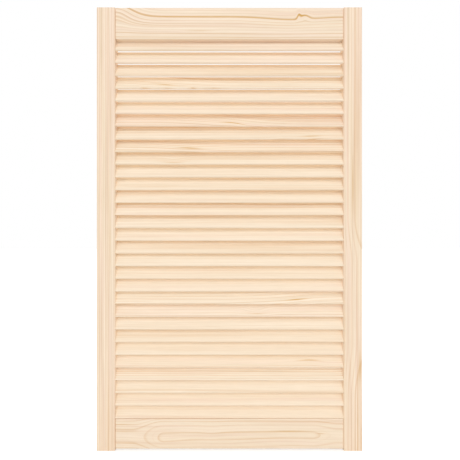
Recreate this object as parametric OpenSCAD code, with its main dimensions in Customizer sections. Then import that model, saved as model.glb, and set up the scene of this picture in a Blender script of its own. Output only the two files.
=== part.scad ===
// Louvred cabinet door in softwood: two stiles, two rails, a ladder of fixed slats and dowelled corners.
// Millimetres. X runs across the door, Y from its front to its back, Z up. The origin is under the middle.

/* [Door] */
// Width over both stiles
door_w = 594; // [394:1:800]
// Height of the stiles
door_h = 993; // [500:1:1250]
// Thickness of the stiles
door_t = 21; // [20:0.5:28]

/* [Frame] */
// Width of each stile, seen from the front
stile_w = 41; // [30:0.5:60]
// Height of the top rail
top_rail_h = 70; // [60:1:110]
// Height of the bottom rail
bottom_rail_h = 66.5; // [50:0.5:110]
// Setback of the rail faces behind the stile faces, front and back
rail_setback = 1.5; // [0.5:0.1:2]
// Stile end left standing below the bottom rail
stile_horn = 4; // [0:0.5:20]
// Radius on the stile edges beside the opening
inner_round = 1.5; // [0.5:0.1:3]
// Radius on the outer edges of the stiles
outer_round = 1; // [0.3:0.1:3]
// Radius on the long edges of the rails
rail_round = 0.6; // [0.3:0.1:2]

/* [Slats] */
// Width of a slat over its rounded edges
slat_w = 36.5; // [34:0.5:42]
// Thickness of a slat
slat_t = 5; // [4:0.1:7]
// Slope of a slat, measured up from level, with its low edge in front
slat_angle = 65; // [60:0.5:72]
// Wanted distance between slats, from which the number of slats follows
slat_pitch = 28.5; // [25:0.5:36]
// Drop from the top rail to the low edge of the first slat
first_drop = 25.9; // [22:0.1:30]
// Gap between the low edge of the last slat and the bottom rail
last_gap = 0.3; // [0.2:0.1:5]
// Depth of the slots that hold the slat ends
slot_depth = 8; // [4:0.5:14]
// Space round a slat in its slot
slot_clearance = 0.1; // [0.05:0.01:0.3]
// Space between a slat end and the bottom of its slot
slat_end_gap = 0.5; // [0.2:0.1:2]
// Space left round the first slat where it goes up behind the top rail
rebate_gap = 0.3; // [0.2:0.1:2]

/* [Dowels] */
// Diameter of a dowel
dowel_d = 8; // [6:0.5:10]
// Length of a dowel
dowel_len = 40; // [24:1:60]
// Distance between the two dowels of a joint
dowel_spacing = 32; // [20:1:34]
// Space round a dowel in its hole
dowel_clearance = 0.05; // [0.02:0.01:0.1]
// Space beyond each end of a dowel
dowel_end_gap = 1; // [0.5:0.5:3]
// Chamfer on the ends of a dowel
dowel_chamfer = 1; // [0.3:0.1:2]

/* [Hidden] */
$fn = 64;

// How far a cutting shape runs past the face that it cuts
overcut = 1;

opening_w = door_w - 2 * stile_w;
opening_bottom = stile_horn + bottom_rail_h;
opening_top = door_h - top_rail_h;
rail_t = door_t - 2 * rail_setback;

// A slat reaches this far from front to back and from bottom to top
slat_core = slat_w - slat_t;
slat_depth = slat_core * cos(slat_angle) + slat_t;
slat_rise = slat_core * sin(slat_angle) + slat_t;
slat_len = opening_w + 2 * (slot_depth - slat_end_gap);

// The low edges of the slats are evenly spaced between the first and the last
slat_run = opening_top - first_drop - opening_bottom - last_gap;
slat_count = round(slat_run / slat_pitch) + 1;
slat_step = slat_run / (slat_count - 1);

// The first slat stands higher than the top rail's lower edge, so the rail is rebated at the back
slat_reach = first_drop - slat_t / 2 * (1 + cos(slat_angle));
slat_face_y = -slat_core / 2 * cos(slat_angle) + slat_reach / tan(slat_angle)
    - slat_t / 2 * sin(slat_angle);
rebate_face_y = slat_face_y - rebate_gap / sin(slat_angle);
rebate_h = slat_rise - first_drop + rebate_gap;

SIDES = ["left", "right"];
LEVELS = ["top", "bottom"];
ROWS = ["lower", "upper"];

function signed(names, name) = name == names[0] ? -1 : 1;
function slat_name(i) = str(i < 10 ? "slat_0" : "slat_", i);
function slat_low(i) = opening_top - first_drop - (i - 1) * slat_step;
function dowel_name(level, side, row) = str("dowel_", level, "_", side, "_", row);
function rail_middle(level) =
    level == "top" ? opening_top + top_rail_h / 2 : stile_horn + bottom_rail_h / 2;
function dowel_z(level, row) = rail_middle(level) + signed(ROWS, row) * dowel_spacing / 2;

// A rectangle with the same radius on its four corners
module rounded_board(width, depth, radius) {
    translate([radius, 0]) square([width - 2 * radius, depth]);
    translate([0, radius]) square([width, depth - 2 * radius]);
    for (x = [radius, width - radius], y = [radius, depth - radius])
        translate([x, y]) circle(r = radius);
}

// Turns a section drawn in Y and Z into a bar of the given length, centred across the door
module across(length) {
    rotate([90, 0, 90]) linear_extrude(height = length, center = true) children();
}

// Section of a slat on its slope, grown all round by a clearance
module slat_section(grow) {
    rotate(slat_angle) {
        square([slat_core, slat_t + 2 * grow], center = true);
        for (end = [-1, 1])
            translate([end * slat_core / 2, 0]) circle(d = slat_t + 2 * grow);
    }
}

// Places its children on the centre line of a slat
module at_slat(i) {
    translate([0, 0, slat_low(i) + slat_rise / 2]) children();
}

// Section of a stile with its outer edge at x = 0 and the opening beyond x = stile_w
module stile_section() {
    share = stile_w * 2 / 3;
    rounded_board(share, door_t, outer_round);
    translate([stile_w - share, 0]) rounded_board(share, door_t, inner_round);
}

// Blind slots for the slat ends, open towards the middle of the door
module slat_slots() {
    for (i = [1:slat_count])
        at_slat(i)
            across(opening_w + 2 * slot_depth) slat_section(slot_clearance);
}

// Holes for the dowels of one joint, at both sides of the shoulder
module dowel_holes(level, side) {
    for (row = ROWS)
        at_dowel(level, side, row)
            cylinder(
                r = dowel_d / 2 + dowel_clearance,
                h = dowel_len + 2 * dowel_end_gap,
                center = true
            );
}

// Places its children on a dowel's middle, with their Z along the door's width
module at_dowel(level, side, row) {
    translate([signed(SIDES, side) * opening_w / 2, 0, dowel_z(level, row)])
        rotate([0, 90, 0]) children();
}

module stile(side) {
    color("blanchedalmond")
        difference() {
            mirror([side == "right" ? 1 : 0, 0, 0])
                translate([-door_w / 2, -door_t / 2, 0])
                    linear_extrude(height = door_h) stile_section();
            slat_slots();
            for (level = LEVELS) dowel_holes(level, side);
        }
}

module rail(level) {
    height = level == "top" ? top_rail_h : bottom_rail_h;
    color("wheat")
        difference() {
            translate([0, 0, rail_middle(level)])
                across(opening_w)
                    translate([-rail_t / 2, -height / 2])
                        rounded_board(rail_t, height, rail_round);
            if (level == "top") top_rail_rebate();
            for (side = SIDES) dowel_holes(level, side);
        }
}

// Room behind the top rail's front lip for the upper edge of the first slat
module top_rail_rebate() {
    if (rebate_h > rebate_gap)
        translate([-opening_w / 2 - overcut, rebate_face_y, opening_top - overcut])
            cube([
                opening_w + 2 * overcut,
                rail_t / 2 - rebate_face_y + overcut,
                rebate_h + overcut
            ]);
}

module slat(i) {
    color("bisque")
        at_slat(i) across(slat_len) slat_section(0);
}

// Round dowel with chamfered ends
module dowel(level, side, row) {
    color("burlywood")
        at_dowel(level, side, row)
            rotate_extrude()
                polygon([
                    [0, -dowel_len / 2],
                    [dowel_d / 2 - dowel_chamfer, -dowel_len / 2],
                    [dowel_d / 2, dowel_chamfer - dowel_len / 2],
                    [dowel_d / 2, dowel_len / 2 - dowel_chamfer],
                    [dowel_d / 2 - dowel_chamfer, dowel_len / 2],
                    [0, dowel_len / 2]
                ]);
}

for (side = SIDES)
    stile(side);
for (level = LEVELS)
    rail(level);
for (i = [1:slat_count])
    slat(i);
for (level = LEVELS, side = SIDES, row = ROWS)
    dowel(level, side, row);
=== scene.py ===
"""Louvred cabinet door in pale pine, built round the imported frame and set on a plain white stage."""

import math

import bmesh
import bpy
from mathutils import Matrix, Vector


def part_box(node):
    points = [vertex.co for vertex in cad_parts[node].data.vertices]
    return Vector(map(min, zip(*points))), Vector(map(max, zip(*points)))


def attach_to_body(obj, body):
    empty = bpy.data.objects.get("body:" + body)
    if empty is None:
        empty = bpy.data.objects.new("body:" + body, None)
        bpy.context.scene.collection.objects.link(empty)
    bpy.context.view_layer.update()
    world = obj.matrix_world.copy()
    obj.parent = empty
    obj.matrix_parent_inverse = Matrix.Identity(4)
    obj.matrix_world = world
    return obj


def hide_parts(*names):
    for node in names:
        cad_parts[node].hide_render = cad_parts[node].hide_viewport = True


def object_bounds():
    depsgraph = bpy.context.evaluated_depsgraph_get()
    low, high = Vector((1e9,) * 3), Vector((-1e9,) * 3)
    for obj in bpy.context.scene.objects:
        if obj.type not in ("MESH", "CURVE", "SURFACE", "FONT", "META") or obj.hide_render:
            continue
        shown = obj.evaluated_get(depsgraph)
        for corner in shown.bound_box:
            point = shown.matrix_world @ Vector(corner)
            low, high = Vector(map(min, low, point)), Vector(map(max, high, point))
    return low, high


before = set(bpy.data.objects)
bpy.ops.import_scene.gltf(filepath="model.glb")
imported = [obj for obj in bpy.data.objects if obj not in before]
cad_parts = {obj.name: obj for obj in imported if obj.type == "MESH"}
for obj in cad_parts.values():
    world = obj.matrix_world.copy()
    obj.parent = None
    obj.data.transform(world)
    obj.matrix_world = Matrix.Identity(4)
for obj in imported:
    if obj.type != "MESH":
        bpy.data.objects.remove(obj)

bl_info = {
    "name": "Louvred Cabinet Door",
    "version": (1, 0, 0),
    "blender": (4, 5, 0),
    "location": "View3D > Sidebar > Louvred Door",
    "description": "Dresses a louvred pine cabinet door and sets it on a plain white stage",
    "category": "Object",
}

CAD_LOW, CAD_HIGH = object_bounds()
BODY = "root"
STILES = ("left_stile", "right_stile")
RAILS = ("top_rail", "bottom_rail")
SLATS = sorted(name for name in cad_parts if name.startswith("slat_"))
DOWELS = sorted(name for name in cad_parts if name.startswith("dowel_"))

# Attributes that the materials read: the place in the board, then what each slat has of its own.
GRAIN = "grain"
BOARD = "board"
TONE = "tone"
KNOT = "knot"
FIGURE = "figure"

# The door's axes that run along an upright or a level board, across it and in from its face.
UPRIGHT = (2, 0, 1)
LEVEL = (0, 2, 1)

# Edges that turn by more than this stay crisp.
CRISP_ANGLE = math.radians(32)
# Points of a slat that lie closer together than this are one point.
SAME_POINT = 1e-6
# Sides of the shape that cuts a dowel hole.
HOLE_SIDES = 40
# How much thinner a dowel gets over its tapered ends, as a share.
END_THINNING = 0.2
# How far a cutting shape runs past the face that it cuts.
CUT_PAST = 0.002


def size_of(node):
    """Width, depth and height of a CAD node."""
    low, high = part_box(node)
    return high - low


def middle_of(node):
    """Centre of a CAD node's box."""
    low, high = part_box(node)
    return (low + high) / 2


def linear(colour):
    """Linear light values, and full cover, of a colour that is written as it looks on a screen."""
    light = [c / 12.92 if c <= 0.04045 else ((c + 0.055) / 1.055) ** 2.4 for c in colour]
    return (*light, 1.0)


def colour_setting(name, description, default):
    """A colour, written as it looks on a screen."""
    return bpy.props.FloatVectorProperty(
        name=name, description=description, subtype="COLOR_GAMMA", size=3, min=0, max=1, default=default
    )


def length_setting(name, description, default, least=0):
    """A length in metres."""
    return bpy.props.FloatProperty(
        name=name, description=description, subtype="DISTANCE", unit="LENGTH", min=least, default=default
    )


def angle_setting(name, description, degrees):
    """An angle, given in degrees and kept in radians."""
    return bpy.props.FloatProperty(
        name=name, description=description, subtype="ANGLE", default=math.radians(degrees)
    )


def share_setting(name, description, default):
    """A share from 0 to 1."""
    return bpy.props.FloatProperty(
        name=name, description=description, subtype="FACTOR", min=0, max=1, default=default
    )


def level_setting(name, description, default, least=0, subtype="NONE"):
    """A plain number with a least value."""
    return bpy.props.FloatProperty(
        name=name, description=description, subtype=subtype, min=least, default=default
    )


def count_setting(name, description, default, least=0):
    """A whole number with a least value."""
    return bpy.props.IntProperty(name=name, description=description, min=least, default=default)


class PineSettings(bpy.types.PropertyGroup):
    """Colours and grain of the planed pine."""

    early: colour_setting("Early Wood", "Pale wood between the grain lines", (0.985, 0.902, 0.795))
    blush: colour_setting("Blush", "Pinker tone of some boards and patches", (0.985, 0.885, 0.800))
    late: colour_setting("Late Wood", "Darker wood of the grain lines", (0.885, 0.725, 0.530))
    sapwood: colour_setting("Sapwood", "Palest wood, most of it in the slats", (0.990, 0.935, 0.850))
    knot: colour_setting("Knot", "Amber brown of a knot and its resin", (0.840, 0.645, 0.320))
    fibre: share_setting("Fibre", "How strongly the fine fibres show", 0.12)
    streak: share_setting("Streaks", "How strongly fine streaks lighten and darken the wood", 0.11)
    band: share_setting("Bands", "How strongly wider bands lean to the colour of late wood", 0.8)
    relief: length_setting("Relief", "Height of the grain lines above the planed face", 0.00012)


class BoardSettings(bpy.types.PropertyGroup):
    """Edges and cuts of the stiles and rails."""

    inner_round: length_setting("Inner Round", "Radius on the stile edges beside the opening", 0.0015)
    outer_round: length_setting("Outer Round", "Radius on the outer edges of the stiles", 0.001)
    rail_round: length_setting("Rail Round", "Radius on the long edges of the rails", 0.0006)
    end_chamfer: length_setting("End Chamfer", "Chamfer round the sawn ends of the stiles", 0.0003)
    joint_chamfer: length_setting(
        "Joint Chamfer", "Chamfer round the ends of the rails, where they meet the stiles", 0.0014
    )
    slot_clearance: length_setting("Slot Clearance", "Space round a slat in its slot", 0.0001)
    slot_end_gap: length_setting(
        "Slot End Gap", "Space between a slat end and the bottom of its slot", 0.0005
    )
    dowel_clearance: length_setting("Dowel Clearance", "Space round a dowel in its hole", 0.00005)
    dowel_end_gap: length_setting("Dowel End Gap", "Space beyond each end of a dowel", 0.001)
    rebate_gap: length_setting(
        "Rebate Gap", "Space round the first slat where it goes up behind the top rail", 0.00003
    )


class SlatSettings(bpy.types.PropertyGroup):
    """The slats and what differs from one to the next."""

    thickness: length_setting("Thickness", "Thickness of a slat", 0.005, least=0.001)
    slope: angle_setting("Slope", "Slope of a slat, up from level, with its low edge in front", 65)
    edge_round: length_setting("Edge Round", "Radius on the long edges of a slat", 0.00249)
    edge_segments: count_setting(
        "Edge Segments", "Faces over a quarter turn of a slat's round edge", 8, least=2
    )
    seed: count_setting("Seed", "Picks each slat's place in the tree and its tone", 11)


class DowelSettings(bpy.types.PropertyGroup):
    """The fluted dowels."""

    pale: colour_setting("Pale Beech", "Beech between the flecks", (0.87, 0.73, 0.56))
    brown: colour_setting("Brown Beech", "Flecks and streaks of the beech", (0.72, 0.53, 0.36))
    flutes: count_setting("Flutes", "Number of flutes round a dowel", 20, least=3)
    flute_depth: length_setting("Flute Depth", "Depth of a flute", 0.0003)
    taper: length_setting("Taper", "Length of the tapered part at each end", 0.002, least=0.0005)


class StageSettings(bpy.types.PropertyGroup):
    """Camera, light and background."""

    distance: length_setting(
        "Camera Distance", "From the lens to the front face of the door", 0.675, least=0.1
    )
    pixels_per_metre: level_setting(
        "Scale", "Image pixels per metre of the door's front face", 446.85, least=1
    )
    image_pixels: level_setting(
        "Image Width", "Width of the square image in pixels", 460, least=16, subtype="PIXEL"
    )
    eye: bpy.props.FloatVectorProperty(
        name="Eye Offset",
        description="Camera's place to the right of and above the door's middle",
        subtype="TRANSLATION",
        unit="LENGTH",
        size=2,
        default=(-0.030, -0.020),
    )
    middle: bpy.props.FloatVectorProperty(
        name="Door Middle",
        description="Pixel where the middle of the door's front shows, from the image's top left",
        size=2,
        default=(229.43, 229.12),
    )
    sky: level_setting("Room Light", "Strength of the even light from all round", 0.75)
    key_strength: level_setting(
        "Key Light", "Light level that the key light adds to a face that looks straight at it", 0.25
    )
    key_height: angle_setting(
        "Key Height", "How steeply the key light comes down on the front of the door", 35
    )
    key_softness: angle_setting(
        "Key Softness", "Angle that the key light spans, seen from the door", 50
    )
    back_strength: level_setting(
        "Backdrop Light", "Light level that the backdrop adds to a face that looks straight back", 0.55
    )
    back_softness: angle_setting(
        "Backdrop Width", "Angle that the bright backdrop spans, seen from the door", 70
    )
    floor_grey: share_setting("Floor Paleness", "Share of light that the floor throws back", 0.8)
    floor_glow: level_setting(
        "Floor Glow", "Light that the floor adds to look white, for the camera alone", 0.4
    )


class DoorSettings(bpy.types.PropertyGroup):
    """All settings of the door, kept on the scene."""

    pine: bpy.props.PointerProperty(type=PineSettings)
    boards: bpy.props.PointerProperty(type=BoardSettings)
    slats: bpy.props.PointerProperty(type=SlatSettings)
    dowels: bpy.props.PointerProperty(type=DowelSettings)
    stage: bpy.props.PointerProperty(type=StageSettings)


class Wires:
    """Adds nodes to one tree and hands back their sockets."""

    def __init__(self, tree):
        self.tree = tree

    def node(self, kind, **settings):
        """Adds a node and sets what isn't a socket."""
        made = self.tree.nodes.new(kind)
        for name, value in settings.items():
            setattr(made, name, value)
        return made

    def feed(self, socket, value):
        """Links a socket to another, or sets its own value."""
        if isinstance(value, bpy.types.NodeSocket):
            self.tree.links.new(value, socket)
        else:
            socket.default_value = value

    def fill(self, made, **values):
        """Feeds a node's inputs by name, with underscores for spaces."""
        for name, value in values.items():
            self.feed(made.inputs[name.replace("_", " ")], value)
        return made

    def result(self, kind, **values):
        """Adds a node, feeds its inputs by name and hands back its first output."""
        return self.fill(self.node(kind), **values).outputs[0]

    def group(self, tree, **values):
        """Adds a group, feeds its inputs by name and hands back its outputs."""
        return self.fill(self.node("ShaderNodeGroup", node_tree=tree), **values).outputs

    def math(self, operation, *values, kind="ShaderNodeMath"):
        made = self.node(kind, operation=operation)
        for socket, value in zip(made.inputs, values):
            self.feed(socket, value)
        return made.outputs[0]

    def vector_math(self, operation, *values):
        return self.math(operation, *values, kind="ShaderNodeVectorMath")

    def add(self, first, second):
        return self.math("ADD", first, second)

    def minus(self, first, second):
        return self.math("SUBTRACT", first, second)

    def times(self, first, second):
        return self.math("MULTIPLY", first, second)

    def over(self, first, second):
        return self.math("DIVIDE", first, second)

    def power(self, first, second):
        return self.math("POWER", first, second)

    def step(self, value, low, high):
        """0 below low and 1 above high, with a smooth rise between them."""
        made = self.node("ShaderNodeMapRange", interpolation_type="SMOOTHSTEP")
        return self.fill(made, Value=value, From_Min=low, From_Max=high).outputs["Result"]

    def scale(self, value, low, high):
        """Stretches a value from 0 to 1 so that it runs from low to high."""
        return self.result("ShaderNodeMapRange", Value=value, To_Min=low, To_Max=high)

    def noise(self, place, along, across, detail):
        """Noise from 0 to 1, with about so many waves to a metre along and across the grain."""
        stretched = self.vector_math("MULTIPLY", place, (along, across, across))
        made = self.node("ShaderNodeTexNoise")
        return self.fill(made, Vector=stretched, Scale=1.0, Detail=detail).outputs["Fac"]

    def attribute(self, name, output="Vector"):
        """Reads an attribute of the mesh."""
        return self.node("ShaderNodeAttribute", attribute_name=name).outputs[output]

    def split(self, place):
        made = self.node("ShaderNodeSeparateXYZ")
        self.feed(made.inputs[0], place)
        return made.outputs

    def join(self, x, y, z):
        return self.result("ShaderNodeCombineXYZ", X=x, Y=y, Z=z)

    def blend(self, share, first, second, blend_type="MIX"):
        """Mixes two colours. Their sockets share names with others, so they are found by type."""
        made = self.node("ShaderNodeMix", data_type="RGBA", blend_type=blend_type)
        self.feed(made.inputs["Factor"], share)
        colours = [socket for socket in made.inputs if socket.type == "RGBA"]
        self.feed(colours[0], first)
        self.feed(colours[1], second)
        return next(socket for socket in made.outputs if socket.type == "RGBA")

    def seen(self):
        """1 for what the camera sees, also in a reflection or through glass, and 0 for other light."""
        rays = self.node("ShaderNodeLightPath").outputs
        straight = self.math("MAXIMUM", rays["Is Camera Ray"], rays["Is Glossy Ray"])
        return self.math("MAXIMUM", straight, rays["Is Transmission Ray"])


def new_group(name, inputs, outputs, kind="ShaderNodeTree"):
    """A node group with named inputs and outputs.

    Returns its tree, its wires, the sockets that it is given and those that it ends in.
    """
    tree = bpy.data.node_groups.new(name, kind)
    for label, socket, default in inputs:
        made = tree.interface.new_socket(label, in_out="INPUT", socket_type=f"NodeSocket{socket}")
        if default is not None:
            made.default_value = default
    for label, socket in outputs:
        tree.interface.new_socket(label, in_out="OUTPUT", socket_type=f"NodeSocket{socket}")
    start, end = tree.nodes.new("NodeGroupInput"), tree.nodes.new("NodeGroupOutput")
    return tree, Wires(tree), start.outputs, end.inputs


def new_material(name):
    """A new material. Returns it with its wires and its shader."""
    made = bpy.data.materials.new(name)
    made.use_nodes = True
    return made, Wires(made.node_tree), made.node_tree.nodes["Principled BSDF"]


SPOT_INPUTS = (
    ("Grain", "Vector", None),
    ("Place", "Vector", None),
    ("Reach Along", "Float", 0.02),
    ("Reach Across", "Float", 0.01),
)
RING_INPUTS = (
    ("Grain", "Vector", None),
    ("Centre", "Float", 0.0),
    ("Depth", "Float", 0.04),
    ("Rise", "Float", 0.0),
    ("Spacing", "Float", 0.005),
    ("Waver", "Float", 0.002),
    ("Fineness", "Float", 1.4),
)
PINE_INPUTS = (
    *RING_INPUTS,
    ("Contrast", "Float", 0.5),
    ("Streaks", "Float", 1.0),
    ("Bands", "Float", 1.0),
    ("Tone", "Float", 0.5),
    ("Sapwood", "Float", 0.0),
    ("Mark", "Float", 0.0),
)


def fall_off(wires, given):
    """1 at the given place, less away from it and next to nothing past twice the given reach."""
    offset = wires.split(wires.vector_math("SUBTRACT", given["Grain"], given["Place"]))
    along = wires.power(wires.over(offset["X"], given["Reach Along"]), 2.0)
    across = wires.power(wires.over(offset["Y"], given["Reach Across"]), 2.0)
    return wires.math("EXPONENT", wires.times(wires.add(along, across), -1.0))


def swerve_group():
    """Pushes the grain sideways round one place, as it runs round a knot."""
    inputs = (*SPOT_INPUTS, ("Push", "Float", 0.01))
    tree, wires, given, end = new_group("Grain Swerve", inputs, [("Grain", "Vector")])
    push = wires.join(0.0, wires.times(fall_off(wires, given), given["Push"]), 0.0)
    wires.feed(end["Grain"], wires.vector_math("SUBTRACT", given["Grain"], push))
    return tree


def mark_group():
    """A dark growth line or a stained patch with soft, slightly ragged edges."""
    inputs = (*SPOT_INPUTS, ("Strength", "Float", 0.5))
    tree, wires, given, end = new_group("Grain Mark", inputs, [("Mark", "Float")])
    ragged = wires.noise(given["Grain"], 25.0, 400.0, 2.0)
    rough = wires.times(fall_off(wires, given), wires.scale(ragged, 0.5, 1.3))
    wires.feed(end["Mark"], wires.times(rough, given["Strength"]))
    return tree


def rings_group():
    """Share of late wood, in year rings round a pith that runs along the board behind its face."""
    quick_share = 0.25
    most_years_off = 1.6
    rarity_of_strong_rings = 1.5
    # Parts of a year at which the wood starts to darken, is darkest and starts to pale again.
    darkening, darkest, paling = 0.40, 0.88, 0.92
    tree, wires, given, end = new_group("Year Rings", RING_INPUTS, [("Late", "Float")])
    grain = given["Grain"]
    slow = wires.minus(wires.noise(grain, 5.0, 14.0, 1.0), 0.5)
    quick = wires.minus(wires.noise(grain, 16.0, 60.0, 2.0), 0.5)
    sway = wires.add(slow, wires.times(quick, quick_share))
    shift = wires.times(sway, wires.times(given["Waver"], 2.0))
    place = wires.split(grain)
    across = wires.add(wires.minus(place["Y"], given["Centre"]), shift)
    inward = wires.add(place["Z"], given["Depth"])
    square = wires.add(wires.times(across, across), wires.times(inward, inward))
    radius = wires.math("SQRT", wires.math("MAXIMUM", wires.add(square, given["Rise"]), 0.0))
    years = wires.over(radius, given["Spacing"])
    uneven = wires.noise(wires.join(years, 0.0, 0.0), 0.37, 1.0, 1.0)
    years = wires.add(years, wires.times(uneven, most_years_off))
    season = wires.math("FRACT", years)
    rise = wires.step(season, darkening, darkest)
    fall = wires.minus(1.0, wires.step(season, paling, 1.0))
    late = wires.times(wires.power(rise, given["Fineness"]), fall)
    own = wires.node("ShaderNodeTexWhiteNoise", noise_dimensions="1D")
    wires.feed(own.inputs["W"], wires.math("FLOOR", years))
    rare = wires.power(own.outputs["Value"], rarity_of_strong_rings)
    ring_strength = wires.scale(rare, 0.15, 1.0)
    along_strength = wires.scale(wires.noise(grain, 6.0, 45.0, 1.0), 0.4, 1.4)
    wires.feed(end["Late"], wires.times(late, wires.times(ring_strength, along_strength)))
    return tree


def pine_group(pine, rings):
    """Planed pine: colour, roughness and relief from the place in the board."""
    smoothest, roughest, line_polish = 0.56, 0.74, 0.12
    ring_height, fibre_height = 0.5, 0.7
    # Darker fibres lose less red and more blue than green.
    red_power, blue_power = 0.8, 1.4
    outputs = [("Colour", "Color"), ("Roughness", "Float"), ("Height", "Float")]
    tree, wires, given, end = new_group("Planed Pine", PINE_INPUTS, outputs)
    grain = given["Grain"]
    late = wires.group(rings, **{label: given[label] for label, _, _ in RING_INPUTS})["Late"]
    fibre = wires.noise(grain, 22.0, 1500.0, 3.0)
    streak = wires.noise(grain, 2.5, 330.0, 1.0)
    band = wires.noise(grain, 1.6, 95.0, 2.0)
    patch = wires.noise(grain, 4.0, 22.0, 2.0)
    lean = wires.add(wires.scale(patch, -0.7, 0.7), wires.scale(band, -1.2, 1.2))
    blushing = wires.step(wires.add(given["Tone"], lean), 0.0, 1.0)
    heartwood = wires.blend(blushing, linear(pine.early), linear(pine.blush))
    ground = wires.blend(given["Sapwood"], heartwood, linear(pine.sapwood))
    line = wires.times(late, given["Contrast"])
    bands = wires.times(wires.scale(band, -pine.band, pine.band), given["Bands"])
    darker = wires.add(line, wires.math("MAXIMUM", bands, 0.0))
    lined = wires.blend(darker, ground, linear(pine.late))
    fine = wires.times(wires.scale(streak, -pine.streak, pine.streak), given["Streaks"])
    grey = wires.add(wires.scale(fibre, 1.0 - pine.fibre, 1.0 + pine.fibre), fine)
    warm = wires.join(wires.power(grey, red_power), grey, wires.power(grey, blue_power))
    brushed = wires.blend(1.0, lined, warm, "MULTIPLY")
    wires.feed(end["Colour"], wires.blend(given["Mark"], brushed, linear(pine.knot)))
    dull = wires.scale(fibre, smoothest, roughest)
    wires.feed(end["Roughness"], wires.add(dull, wires.times(line, -line_polish)))
    height = wires.add(wires.times(late, ring_height), wires.times(fibre, fibre_height))
    wires.feed(end["Height"], height)
    return tree


class Timber:
    """The shared node groups, and the pine materials made with them."""

    def __init__(self, pine):
        self.pine = pine
        self.swerve = swerve_group()
        self.mark = mark_group()
        self.planed = pine_group(pine, rings_group())

    def finish(self, wires, shader, **values):
        """Feeds the planed pine into a shader."""
        wood = wires.group(self.planed, **values)
        relief = wires.result(
            "ShaderNodeBump", Height=wood["Height"], Strength=0.6, Distance=self.pine.relief
        )
        wires.fill(
            shader,
            Base_Color=wood["Colour"],
            Roughness=wood["Roughness"],
            Normal=relief,
            Specular_IOR_Level=0.35,
        )

    def board(self, name, look, swerves=(), rises=(), marks=()):
        """Pine for one board, with its own figure."""
        made, wires, shader = new_material(name)
        grain = wires.attribute(GRAIN)
        for values in swerves:
            grain = wires.group(self.swerve, Grain=grain, **values)["Grain"]
        rise = 0.0
        along = wires.split(grain)["X"]
        for place, run, square in rises:
            step = wires.step(along, place - run / 2, place + run / 2)
            rise = wires.add(rise, wires.times(step, square))
        dark = 0.0
        for values in marks:
            dark = wires.add(dark, wires.group(self.mark, Grain=grain, **values)["Mark"])
        self.finish(wires, shader, Grain=grain, Rise=rise, Mark=dark, **look)
        return made

    def slats(self, name):
        """Pine for the slats, which reads each slat's own figure from its attributes."""
        most_slant = 0.010
        slant_reach = 0.10
        length_of_tree = 40.0
        stain_strength, stain_contrast = 1.4, 0.9
        pink_tone = 0.7
        made, wires, shader = new_material(name)
        along, across, depth = wires.split(wires.attribute(GRAIN))
        own = wires.split(wires.attribute(BOARD))
        tone = wires.attribute(TONE, "Fac")
        knot_along, knot_across, push = wires.split(wires.attribute(KNOT))
        slant, stain, pink = wires.split(wires.attribute(FIGURE))
        slant = wires.add(slant, wires.scale(own["Y"], -most_slant, most_slant))
        run = wires.math("TANH", wires.over(wires.minus(along, knot_along), slant_reach))
        drift = wires.times(run, wires.times(slant, slant_reach))
        slanted = wires.join(along, wires.add(across, drift), depth)
        place = wires.join(knot_along, knot_across, 0.0)
        swerved = wires.group(
            self.swerve, Grain=slanted, Place=place, Reach_Along=0.030, Reach_Across=0.010, Push=push
        )["Grain"]
        dark = wires.group(
            self.mark,
            Grain=swerved,
            Place=place,
            Reach_Along=0.022,
            Reach_Across=0.0014,
            Strength=wires.times(stain, stain_strength),
        )["Mark"]
        place_in_tree = wires.join(wires.times(own["Z"], length_of_tree), 0.0, 0.0)
        self.finish(
            wires,
            shader,
            Grain=wires.vector_math("ADD", swerved, place_in_tree),
            Centre=wires.scale(own["X"], -0.045, 0.045),
            Depth=wires.scale(own["Y"], 0.004, 0.050),
            Spacing=wires.scale(own["Z"], 0.0024, 0.0050),
            Waver=0.0030,
            Contrast=wires.add(wires.scale(tone, 0.10, 0.40), wires.times(stain, stain_contrast)),
            Streaks=wires.add(wires.scale(own["X"], 0.4, 1.1), stain),
            Bands=wires.scale(tone, 0.5, 0.9),
            Tone=wires.add(wires.scale(own["Z"], -0.45, 0.25), wires.times(pink, pink_tone)),
            Sapwood=wires.scale(own["X"], 0.22, 0.52),
            Mark=dark,
        )
        return made


def spot(along, across, reach_along, reach_across, **effect):
    """A place in a board, how far its effect reaches and how strong it is."""
    reach = {"Reach_Along": reach_along, "Reach_Across": reach_across}
    return {"Place": (along, across, 0.0), **reach, **effect}


def swerve(along, across, reach_along, reach_across, push):
    """Where and how far the grain is pushed up, or to the right on a stile. Below 0 it goes back."""
    return spot(along, across, reach_along, reach_across, Push=push)


def mark(along, across, reach_along, reach_across, strength):
    """Where a dark line or patch lies, how far it reaches and how strong it is."""
    return spot(along, across, reach_along, reach_across, Strength=strength)


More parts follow.
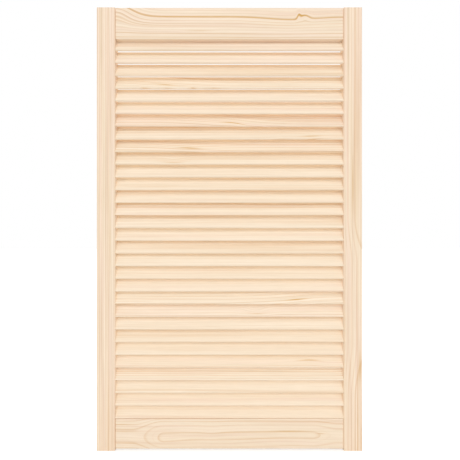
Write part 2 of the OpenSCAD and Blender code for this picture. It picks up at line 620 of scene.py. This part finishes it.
def figures():
    """The figure of each board, in metres along and across it from its lower left front corner.

    A look gives the year rings first and then the colour. A rise gives the place where the rings
    change their radius, the run that this takes, and what it adds to the square of the radius.
    """
    top = size_of("top_rail").z
    stile = size_of("left_stile").x
    return {
        "top_rail": {
            "look": dict(
                Centre=-0.2237, Depth=0.020, Spacing=0.0074, Fineness=2.8, Waver=0.0013,
                Contrast=1.25, Streaks=1.4, Bands=0.6, Tone=0.50, Sapwood=0.25,
            ),
            "swerves": (
                swerve(0.000, top, 0.051, 0.036, 0.027),
                swerve(0.4115, top - 0.0150, 0.005, 0.012, 0.0080),
                swerve(0.4245, top - 0.0185, 0.013, 0.012, 0.0088),
                swerve(0.394, top - 0.026, 0.075, 0.024, -0.0065),
            ),
            "marks": (
                mark(0.220, top - 0.0192, 0.450, 0.0012, 0.90),
                mark(0.050, top - 0.0395, 0.160, 0.0010, 0.45),
                mark(0.190, 0.0185, 0.030, 0.0009, 0.55),
                mark(0.4180, top - 0.0205, 0.014, 0.0020, 0.85),
            ),
        },
        "bottom_rail": {
            "look": dict(
                Centre=0.028, Depth=0.034, Spacing=0.0060, Fineness=2.0, Waver=0.0032,
                Contrast=0.62, Streaks=0.9, Bands=1.0, Tone=0.40, Sapwood=0.35,
            ),
            "rises": ((0.074, 0.070, -0.0009), (0.470, 0.060, 0.00035)),
            "swerves": (
                swerve(0.100, 0.018, 0.050, 0.018, -0.0045),
                swerve(0.215, 0.037, 0.028, 0.012, -0.0022),
                swerve(0.370, 0.019, 0.090, 0.016, 0.0055),
            ),
            "marks": (
                mark(0.010, 0.0546, 0.035, 0.0010, 0.55),
                mark(0.020, 0.0385, 0.035, 0.0010, 0.40),
                mark(0.270, 0.0370, 0.110, 0.0010, 0.35),
                mark(0.395, 0.0385, 0.050, 0.0016, 0.55),
                mark(0.461, 0.033, 0.010, 0.0013, 0.50),
                mark(0.340, 0.0185, 0.070, 0.0010, 0.35),
            ),
        },
        "left_stile": {
            "look": dict(
                Centre=-0.300, Depth=0.010, Spacing=0.0042, Fineness=3.0, Waver=0.0012,
                Contrast=0.90, Streaks=2.0, Bands=0.4, Tone=0.54, Sapwood=0.15,
            ),
            "marks": (
                mark(0.758, 0.0305, 0.070, 0.0010, 0.40),
                mark(0.472, 0.0300, 0.090, 0.0010, 0.45),
                mark(0.069, 0.0272, 0.110, 0.0010, 0.50),
                mark(0.050, 0.0340, 0.110, 0.0070, 0.16),
            ),
        },
        "right_stile": {
            "look": dict(
                Centre=stile + 0.004, Depth=0.030, Spacing=0.0058, Fineness=2.0, Waver=0.0010,
                Contrast=0.62, Streaks=1.8, Bands=0.8, Tone=0.50, Sapwood=0.05,
            ),
            "rises": ((0.180, 0.13, 0.00055), (0.470, 0.10, -0.00055)),
            "marks": (
                mark(0.595, 0.0204, 0.070, 0.0013, 0.70),
                mark(0.690, 0.0310, 0.170, 0.0085, 0.20),
                mark(0.185, 0.0365, 0.035, 0.0035, 0.50),
                mark(0.040, 0.0312, 0.120, 0.0012, 0.70),
                mark(0.020, 0.0395, 0.080, 0.0025, 0.50),
            ),
        },
    }


def add_object(name, data):
    """A new object in the scene."""
    made = bpy.data.objects.new(name, data)
    bpy.context.scene.collection.objects.link(made)
    return made


def mesh_of(shape, name):
    """Turns a finished bmesh into a mesh."""
    mesh = bpy.data.meshes.new(name)
    shape.to_mesh(mesh)
    shape.free()
    return mesh


def rounded_outline(half_wide, half_deep, radii, steps=6):
    """Points round a rectangle whose corners are rounded. The radii start at its low left corner."""
    corners = ((-1, -1), (1, -1), (1, 1), (-1, 1))
    points = []
    for quarter, ((side, end), radius) in enumerate(zip(corners, radii)):
        centre = (side * (half_wide - radius), end * (half_deep - radius))
        for step in range(steps + 1):
            turn = math.radians(180 + 90 * quarter + 90 * step / steps)
            points.append((centre[0] + radius * math.cos(turn), centre[1] + radius * math.sin(turn)))
    return points


def board_mesh(name, outline, chamfer, length, place):
    """A bar whose outline is swept along its length, with a chamfer round both ends.

    place turns an outline point and a distance along the bar into a point of the door.
    """
    shape = bmesh.new()
    wide = max(abs(x) for x, _ in outline)
    deep = max(abs(y) for _, y in outline)
    rings = []
    for along, inset in ((0.0, chamfer), (chamfer, 0.0), (length - chamfer, 0.0), (length, chamfer)):
        narrow, thin = 1 - inset / wide, 1 - inset / deep
        rings.append([shape.verts.new(place(x * narrow, y * thin, along)) for x, y in outline])
    for first, second in zip(rings, rings[1:]):
        for corners in zip(first, first[1:] + first[:1], second[1:] + second[:1], second):
            shape.faces.new(corners)
    shape.faces.new(reversed(rings[0]))
    shape.faces.new(rings[-1])
    bmesh.ops.recalc_face_normals(shape, faces=shape.faces)
    return mesh_of(shape, name)


def settle(made):
    """Turns an object and its modifiers into a plain mesh with flat faces and smooth rounds."""
    evaluated = made.evaluated_get(bpy.context.evaluated_depsgraph_get())
    mesh = bpy.data.meshes.new_from_object(evaluated)
    made.modifiers.clear()
    mesh.name = made.name
    made.data = mesh
    for polygon in mesh.polygons:
        polygon.use_smooth = True
    mesh.set_sharp_from_angle(angle=CRISP_ANGLE)


def cut(made, cutters):
    """Cuts the cutters out of an object and leaves it a plain mesh."""
    for cutter in cutters:
        modifier = made.modifiers.new("cut", "BOOLEAN")
        modifier.operation = "DIFFERENCE"
        modifier.solver = "EXACT"
        modifier.object = cutter
    settle(made)


def write_grain(made, low, axes):
    """Stores where each vertex lies in its board: along the grain, across it and in from the face."""
    mesh = made.data
    for name in (GRAIN, BOARD, TONE):
        from_cutter = mesh.attributes.get(name)
        if from_cutter:
            mesh.attributes.remove(from_cutter)
    attribute = mesh.attributes.new(GRAIN, "FLOAT_VECTOR", "POINT")
    for vertex, value in zip(mesh.vertices, attribute.data):
        value.vector = [vertex.co[axis] - low[axis] for axis in axes]


def attach(piece, nodes):
    """Fixes a finished piece to the door in place of its CAD nodes."""
    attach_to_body(piece, BODY)
    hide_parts(*nodes)


def finish_board(node, mesh, timber, cutters, axes):
    """Gives a board its wood and its cuts, and fixes it to the door."""
    name = f"pine_{node}"
    mesh.materials.append(timber.board(name, **figures()[node]))
    board = add_object(name, mesh)
    cut(board, cutters)
    write_grain(board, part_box(node)[0], axes)
    attach(board, [node])


def points_object(name, nodes):
    """One vertex at the middle of each node."""
    mesh = bpy.data.meshes.new(name)
    mesh.from_pydata([middle_of(node) for node in nodes], [], [])
    return add_object(name, mesh)


def run_tree(made, tree, **values):
    """Runs a node tree on an object, with its inputs set by name, and leaves a plain mesh."""
    modifier = made.modifiers.new(tree.name, "NODES")
    modifier.node_group = tree
    for item in tree.interface.items_tree:
        name = item.name.replace(" ", "_")
        if item.item_type == "SOCKET" and item.in_out == "INPUT" and name in values:
            modifier[item.identifier] = values[name]
    settle(made)
    return made


def centred_line(wires, length):
    """A line across the door, with its middle at the origin. Returns it and half its length."""
    half = wires.times(length, 0.5)
    low, high = wires.join(wires.times(half, -1.0), 0.0, 0.0), wires.join(half, 0.0, 0.0)
    return wires.result("GeometryNodeCurvePrimitiveLine", Start=low, End=high), half


def store(wires, geometry, name, value, kind="FLOAT_VECTOR"):
    """Stores a value on each point as an attribute."""
    made = wires.node("GeometryNodeStoreNamedAttribute", data_type=kind, domain="POINT")
    return wires.fill(made, Geometry=geometry, Name=name, Value=value).outputs[0]


def slat_tree():
    """Slats with round long edges, one on each point, each with its own place in the tree."""
    tree, wires, given, end = new_group(
        "Slat Ladder",
        [
            ("Points", "Geometry", None),
            ("Length", "Float", 0.5),
            ("Width", "Float", 0.036),
            ("Thickness", "Float", 0.005),
            ("Round", "Float", 0.001),
            ("Slope", "Float", 1.1),
            ("Edge Segments", "Int", 8),
            ("Seed", "Int", 0),
            ("Material", "Material", None),
        ],
        [("Geometry", "Geometry")],
        "GeometryNodeTree",
    )
    outline = wires.result(
        "GeometryNodeCurvePrimitiveQuadrilateral", Width=given["Width"], Height=given["Thickness"]
    )
    rounded = wires.node("GeometryNodeFilletCurve", mode="POLY")
    wires.fill(rounded, Curve=outline, Count=given["Edge Segments"])
    wires.fill(rounded, Radius=given["Round"], Limit_Radius=True)
    line, _ = centred_line(wires, given["Length"])
    bar = wires.result(
        "GeometryNodeCurveToMesh", Curve=line, Profile_Curve=rounded.outputs[0], Fill_Caps=True
    )
    bar = store(wires, bar, GRAIN, wires.result("GeometryNodeInputPosition"))
    # A random value's first output is its vector and the second its plain number.
    board = wires.node("FunctionNodeRandomValue", data_type="FLOAT_VECTOR")
    wires.feed(board.inputs["Seed"], given["Seed"])
    tone = wires.node("FunctionNodeRandomValue", data_type="FLOAT")
    wires.feed(tone.inputs["Seed"], wires.add(given["Seed"], 1.0))
    points = store(wires, given["Points"], BOARD, board.outputs[0])
    points = store(wires, points, TONE, tone.outputs[1], "FLOAT")
    tilt = wires.join(given["Slope"], 0.0, 0.0)
    placed = wires.result("GeometryNodeInstanceOnPoints", Points=points, Instance=bar, Rotation=tilt)
    real = wires.result("GeometryNodeRealizeInstances", Geometry=placed)
    merged = wires.result("GeometryNodeMergeByDistance", Geometry=real, Distance=SAME_POINT)
    dressed = wires.result("GeometryNodeSetMaterial", Geometry=merged, Material=given["Material"])
    wires.feed(end["Geometry"], dressed)
    return tree


def dowel_tree():
    """Fluted dowels with tapered ends, one on each point."""
    tree, wires, given, end = new_group(
        "Dowel Set",
        [
            ("Points", "Geometry", None),
            ("Length", "Float", 0.04),
            ("Diameter", "Float", 0.008),
            ("Flutes", "Int", 20),
            ("Flute Depth", "Float", 0.0003),
            ("Taper", "Float", 0.002),
            ("Material", "Material", None),
        ],
        [("Geometry", "Geometry")],
        "GeometryNodeTree",
    )
    outer = wires.times(given["Diameter"], 0.5)
    inner = wires.minus(outer, given["Flute Depth"])
    star = wires.result(
        "GeometryNodeCurveStar", Points=given["Flutes"], Inner_Radius=inner, Outer_Radius=outer
    )
    line, half = centred_line(wires, given["Length"])
    stepped = wires.node("GeometryNodeResampleCurve", mode="LENGTH")
    wires.fill(stepped, Curve=line, Length=wires.times(given["Taper"], 0.5))
    across = wires.split(wires.result("GeometryNodeInputPosition"))["X"]
    to_end = wires.minus(half, wires.math("ABSOLUTE", across))
    near_end = wires.minus(1.0, wires.math("MINIMUM", wires.over(to_end, given["Taper"]), 1.0))
    swell = wires.minus(1.0, wires.times(wires.power(near_end, 2.0), END_THINNING))
    tapered = wires.result("GeometryNodeSetCurveRadius", Curve=stepped.outputs[0], Radius=swell)
    bar = wires.result(
        "GeometryNodeCurveToMesh", Curve=tapered, Profile_Curve=star, Fill_Caps=True, Scale=swell
    )
    placed = wires.result("GeometryNodeInstanceOnPoints", Points=given["Points"], Instance=bar)
    real = wires.result("GeometryNodeRealizeInstances", Geometry=placed)
    dressed = wires.result("GeometryNodeSetMaterial", Geometry=real, Material=given["Material"])
    wires.feed(end["Geometry"], dressed)
    return tree


def slat_width(slats):
    """Width of a slat over its rounded edges, from the height that its slope gives it in the frame."""
    rounds = 2 * slats.edge_round
    rise = size_of(SLATS[0]).z - rounds - (slats.thickness - rounds) * math.cos(slats.slope)
    return rise / math.sin(slats.slope) + rounds


def beech(dowels):
    """Plain pale beech for the dowels."""
    made, wires, shader = new_material("beech_dowel")
    fleck_share, streak_share = 0.5, 0.4
    place = wires.node("ShaderNodeTexCoord").outputs["Object"]
    fleck = wires.noise(place, 180.0, 1600.0, 3.0)
    streak = wires.noise(place, 30.0, 420.0, 2.0)
    flecked = wires.times(wires.step(fleck, 0.5, 0.8), fleck_share)
    share = wires.add(flecked, wires.times(streak, streak_share))
    wires.fill(
        shader,
        Base_Color=wires.blend(share, linear(dowels.pale), linear(dowels.brown)),
        Roughness=wires.scale(fleck, 0.55, 0.75),
        Normal=wires.result("ShaderNodeBump", Height=fleck, Strength=0.4, Distance=0.0001),
    )
    return made


def put_slats(points, slats, clearance=0.0, end_gap=0.0, **values):
    """Puts a slat on each point or, with a clearance and an end gap, the shape of its slots."""
    return run_tree(
        points,
        slat_tree(),
        Length=size_of(SLATS[0]).x + 2 * end_gap,
        Width=slat_width(slats) + 2 * clearance,
        Thickness=slats.thickness + 2 * clearance,
        Round=slats.edge_round + clearance,
        Slope=slats.slope,
        Edge_Segments=slats.edge_segments,
        **values,
    )


def slot_cutter(settings):
    """Cutting shape for the slots of all slats."""
    points = points_object("slot_cutter", SLATS)
    boards = settings.boards
    return put_slats(points, settings.slats, boards.slot_clearance, boards.slot_end_gap)


def hole_cutter(boards):
    """Cutting shape for the holes of all dowels."""
    dowel = size_of(DOWELS[0])
    radius = dowel.z / 2 + boards.dowel_clearance
    length = dowel.x + 2 * boards.dowel_end_gap
    shape = bmesh.new()
    for node in DOWELS:
        pin = bmesh.ops.create_cone(
            shape, cap_ends=True, segments=HOLE_SIDES, radius1=radius, radius2=radius, depth=length
        )
        for vertex in pin["verts"]:
            vertex.co = vertex.co.zxy + middle_of(node)
    bmesh.ops.recalc_face_normals(shape, faces=shape.faces)
    return add_object("hole_cutter", mesh_of(shape, "hole_cutter"))


def rebate_cutter(settings):
    """Block that clears the top rail's back lower corner for the first slat."""
    gap = settings.boards.rebate_gap
    slope = settings.slats.slope
    rail_low, rail_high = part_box("top_rail")
    slat_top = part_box(SLATS[0])[1].z
    above = rail_low.z - middle_of(SLATS[0]).z
    face = above / math.tan(slope) - settings.slats.thickness / 2 / math.sin(slope)
    low = Vector((rail_low.x - CUT_PAST, face - gap / math.sin(slope), rail_low.z - CUT_PAST))
    high = Vector((rail_high.x + CUT_PAST, rail_high.y + CUT_PAST, slat_top + gap))
    shape = bmesh.new()
    bmesh.ops.create_cube(shape, size=1.0)
    for vertex in shape.verts:
        vertex.co = [far if side > 0 else near for side, near, far in zip(vertex.co, low, high)]
    return add_object("rebate_cutter", mesh_of(shape, "rebate_cutter"))


def drop(objects):
    """Removes helper objects."""
    for made in objects:
        bpy.data.objects.remove(made)


class LOUVRE_OT_stiles(bpy.types.Operator):
    """Builds both stiles with their slots and dowel holes"""

    bl_idname = "louvre.stiles"
    bl_label = "Build Stiles"

    def execute(self, context):
        settings = context.scene.louvred_door
        boards = settings.boards
        timber = Timber(settings.pine)
        cutters = (slot_cutter(settings), hole_cutter(boards))
        outer, inner = boards.outer_round, boards.inner_round
        radii = {"left_stile": (outer, inner, inner, outer), "right_stile": (inner, outer, outer, inner)}
        for node in STILES:
            size, middle, foot = size_of(node), middle_of(node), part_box(node)[0].z
            mesh = board_mesh(
                node,
                rounded_outline(size.x / 2, size.y / 2, radii[node]),
                boards.end_chamfer,
                size.z,
                lambda x, y, along: (middle.x + x, middle.y + y, foot + along),
            )
            finish_board(node, mesh, timber, cutters, UPRIGHT)
        drop(cutters)
        return {"FINISHED"}


class LOUVRE_OT_rails(bpy.types.Operator):
    """Builds both rails, the top one rebated for the first slat"""

    bl_idname = "louvre.rails"
    bl_label = "Build Rails"

    def execute(self, context):
        settings = context.scene.louvred_door
        boards = settings.boards
        timber = Timber(settings.pine)
        holes, rebate = hole_cutter(boards), rebate_cutter(settings)
        cutters = {"top_rail": (holes, rebate), "bottom_rail": (holes,)}
        for node in RAILS:
            size, middle, left = size_of(node), middle_of(node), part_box(node)[0].x
            mesh = board_mesh(
                node,
                rounded_outline(size.y / 2, size.z / 2, [boards.rail_round] * 4),
                boards.joint_chamfer,
                size.x,
                lambda y, z, along: (left + along, middle.y + y, middle.z + z),
            )
            finish_board(node, mesh, timber, cutters[node], LEVEL)
        drop((holes, rebate))
        return {"FINISHED"}


# Slats whose figure stands out: number, place along and across in metres, push, slant and stain.
# Those with their place past the slat's edge show clear grain lines and no mark.
FIGURED_SLATS = (
    (4, -0.144, -0.0080, 0.000, 0.110, 0.60),
    (7, 0.008, -0.0120, 0.004, 0.150, 0.95),
    (8, 0.185, -0.0105, 0.000, -0.035, 0.50),
    (9, -0.088, -0.0085, 0.000, 0.065, 0.80),
    (10, -0.125, -0.0090, -0.006, 0.000, 0.40),
    (14, 0.000, 0.0500, 0.000, 0.000, 0.80),
    (21, 0.150, -0.0080, 0.000, -0.080, 0.75),
    (22, 0.062, -0.0050, -0.008, 0.000, 0.45),
    (26, 0.180, -0.0050, 0.003, 0.000, 0.55),
    (27, 0.000, 0.0500, 0.000, 0.010, 0.80),
    (28, 0.000, 0.0500, 0.000, 0.008, 0.20),
)
# Slats of pinker wood.
PINK_SLATS = (1, 2, 5, 6, 7, 22, 26)


class LOUVRE_OT_slats(bpy.types.Operator):
    """Builds the ladder of slats"""

    bl_idname = "louvre.slats"
    bl_label = "Build Slats"

    def execute(self, context):
        settings = context.scene.louvred_door
        ladder = points_object("slats", SLATS)
        knots = ladder.data.attributes.new(KNOT, "FLOAT_VECTOR", "POINT")
        figure = ladder.data.attributes.new(FIGURE, "FLOAT_VECTOR", "POINT")
        for number, along, across, push, slant, stain in FIGURED_SLATS:
            knots.data[number - 1].vector = (along, across, push)
            figure.data[number - 1].vector = (slant, stain, 0.0)
        for number in PINK_SLATS:
            figure.data[number - 1].vector.z = 1.0
        wood = Timber(settings.pine).slats("pine_slats")
        put_slats(ladder, settings.slats, Seed=settings.slats.seed, Material=wood)
        attach(ladder, SLATS)
        return {"FINISHED"}


class LOUVRE_OT_dowels(bpy.types.Operator):
    """Builds the fluted dowels in the corner joints"""

    bl_idname = "louvre.dowels"
    bl_label = "Build Dowels"

    def execute(self, context):
        dowels = context.scene.louvred_door.dowels
        size = size_of(DOWELS[0])
        joints = run_tree(
            points_object("dowels", DOWELS),
            dowel_tree(),
            Length=size.x,
            Diameter=size.z,
            Flutes=dowels.flutes,
            Flute_Depth=dowels.flute_depth,
            Taper=dowels.taper,
            Material=beech(dowels),
        )
        attach(joints, DOWELS)
        return {"FINISHED"}


def white_floor(paleness, glow):
    """Pale floor that looks white to the camera and still takes the door's shadow."""
    made, wires, shader = new_material("white_floor")
    nodes = made.node_tree.nodes
    nodes.remove(shader)
    both = wires.node("ShaderNodeAddShader")
    matt = wires.result("ShaderNodeBsdfDiffuse", Color=(paleness, paleness, paleness, 1.0))
    wires.feed(both.inputs[0], matt)
    bright = wires.result("ShaderNodeEmission", Strength=wires.times(wires.seen(), glow))
    wires.feed(both.inputs[1], bright)
    wires.fill(nodes["Material Output"], Surface=both.outputs[0])
    return made


def white_world(strength):
    """Even light from all round, with a white background behind the door."""
    world = bpy.data.worlds.new("white_room")
    world.use_nodes = True
    wires = Wires(world.node_tree)
    background = world.node_tree.nodes["Background"]
    room = wires.scale(wires.seen(), strength, 1.0)
    wires.fill(background, Color=(1.0, 1.0, 1.0, 1.0), Strength=room)
    return world


def soft_light(name, strength, height, softness):
    """Soft light from a large lamp far away: in front, or behind where height is past 90 degrees.

    Its place is only for the viewport.
    """
    away, middle = 3.0, 0.5
    data = bpy.data.lights.new(name, "SUN")
    data.energy = math.pi * strength
    data.angle = softness
    lamp = add_object(name, data)
    lamp.location = (0.0, -away * math.cos(height), middle + away * math.sin(height))
    lamp.rotation_euler = (math.radians(90) - height, 0.0, 0.0)


def front_camera(stage):
    """Camera that looks squarely at the door, shifted so that its middle shows at the wanted pixel."""
    data = bpy.data.cameras.new("camera")
    data.sensor_width = 36.0
    focal_pixels = stage.pixels_per_metre * stage.distance
    data.lens = data.sensor_width * focal_pixels / stage.image_pixels
    half = stage.image_pixels / 2
    aside, above = (offset * stage.pixels_per_metre for offset in stage.eye)
    data.shift_x = (half - stage.middle[0] - aside) / stage.image_pixels
    data.shift_y = (stage.middle[1] - half - above) / stage.image_pixels
    middle = (CAD_LOW + CAD_HIGH) / 2
    camera = add_object("camera", data)
    camera.location = (middle.x + stage.eye[0], CAD_LOW.y - stage.distance, middle.z + stage.eye[1])
    camera.rotation_euler = (math.radians(90), 0.0, 0.0)
    return camera


class LOUVRE_OT_stage(bpy.types.Operator):
    """Sets the floor, the light and the camera"""

    bl_idname = "louvre.stage"
    bl_label = "Set Stage"

    def execute(self, context):
        stage = context.scene.louvred_door.stage
        scene = context.scene
        scene.view_settings.view_transform = "Standard"
        scene.world = white_world(stage.sky)
        reach = 12.0
        corners = ((-reach, -reach), (reach, -reach), (reach, reach), (-reach, reach))
        mesh = bpy.data.meshes.new("floor")
        mesh.from_pydata([(x, y, CAD_LOW.z) for x, y in corners], [], [(0, 1, 2, 3)])
        mesh.materials.append(white_floor(stage.floor_grey, stage.floor_glow))
        floor = add_object("floor", mesh)
        soft_light("key", stage.key_strength, stage.key_height, stage.key_softness)
        straight_behind = math.radians(180)
        soft_light("back", stage.back_strength, straight_behind, stage.back_softness)
        scene.camera = front_camera(stage)
        return {"FINISHED"}


class LOUVRE_PT_panel(bpy.types.Panel):
    """Lists the steps that build the door"""

    bl_idname = "LOUVRE_PT_panel"
    bl_label = "Louvred Door"
    bl_space_type = "VIEW_3D"
    bl_region_type = "UI"
    bl_category = "Louvred Door"

    def draw(self, context):
        for operator in OPERATORS:
            self.layout.operator(operator.bl_idname)


SETTINGS = (PineSettings, BoardSettings, SlatSettings, DowelSettings, StageSettings, DoorSettings)
OPERATORS = (LOUVRE_OT_stage, LOUVRE_OT_stiles, LOUVRE_OT_rails, LOUVRE_OT_slats, LOUVRE_OT_dowels)
CLASSES = (*SETTINGS, *OPERATORS, LOUVRE_PT_panel)


def register():
    """Registers the classes and keeps the settings on the scene."""
    for item in CLASSES:
        bpy.utils.register_class(item)
    bpy.types.Scene.louvred_door = bpy.props.PointerProperty(type=DoorSettings)


def unregister():
    """Takes back what register did."""
    del bpy.types.Scene.louvred_door
    for item in reversed(CLASSES):
        bpy.utils.unregister_class(item)


def main():
    """Builds the stage and the door."""
    register()
    bpy.ops.louvre.stage()
    bpy.ops.louvre.stiles()
    bpy.ops.louvre.rails()
    bpy.ops.louvre.slats()
    bpy.ops.louvre.dowels()


if __name__ == "__main__":
    main()
